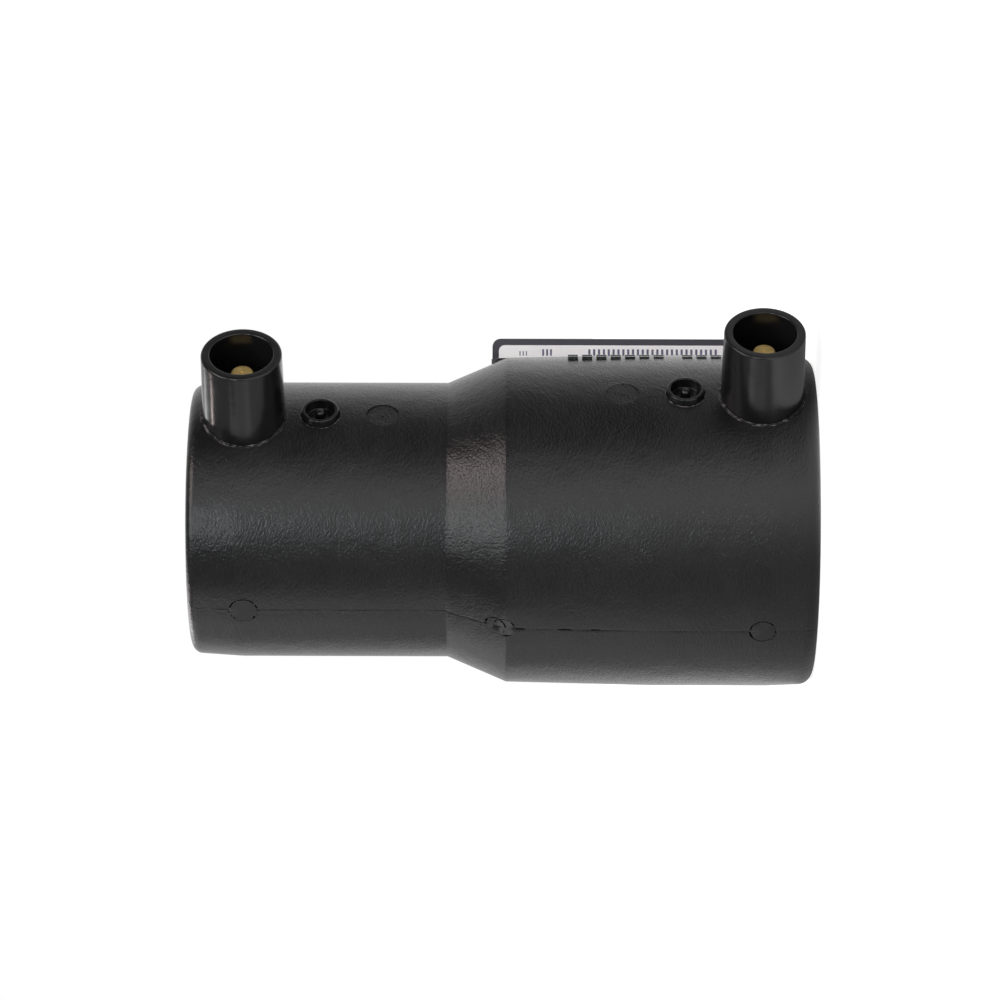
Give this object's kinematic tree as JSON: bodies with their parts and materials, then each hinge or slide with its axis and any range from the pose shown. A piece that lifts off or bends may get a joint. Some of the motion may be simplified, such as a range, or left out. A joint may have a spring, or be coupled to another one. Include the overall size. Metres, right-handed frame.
{
  "type": "electrofusion reducer",
  "caption": "Black polyethylene electrofusion reducer: a stepped socket fitting with a heating coil in each bore, shrouded contact pins and fusion indicators.",
  "frame": {"origin": "centre of the large end face, which the part stands on, on the pipe axis", "axes": "+Z along the pipe axis, from the large end up to the small end; both contact pins point to -Y"},
  "size_m": [0.0866, 0.0864, 0.1312],
  "materials": {
    "moulded_polyethylene": "black, fine spark-eroded grain",
    "smooth_polyethylene": "black, smooth satin",
    "contact_brass": "turned",
    "resistance_wire": "drawn wire",
    "label_film": "white printed film"
  },
  "bodies": {
    "root": {"reducer_body": "moulded_polyethylene", "terminal_shroud_large_end": "smooth_polyethylene", "terminal_shroud_small_end": "smooth_polyethylene", "terminal_pin_large_end": "contact_brass", "terminal_pin_small_end": "contact_brass", "fusion_indicator_large_end": "smooth_polyethylene", "fusion_indicator_small_end": "smooth_polyethylene", "heating_wire": "resistance_wire", "data_label": "label_film"}
  },
  "joints": []
}
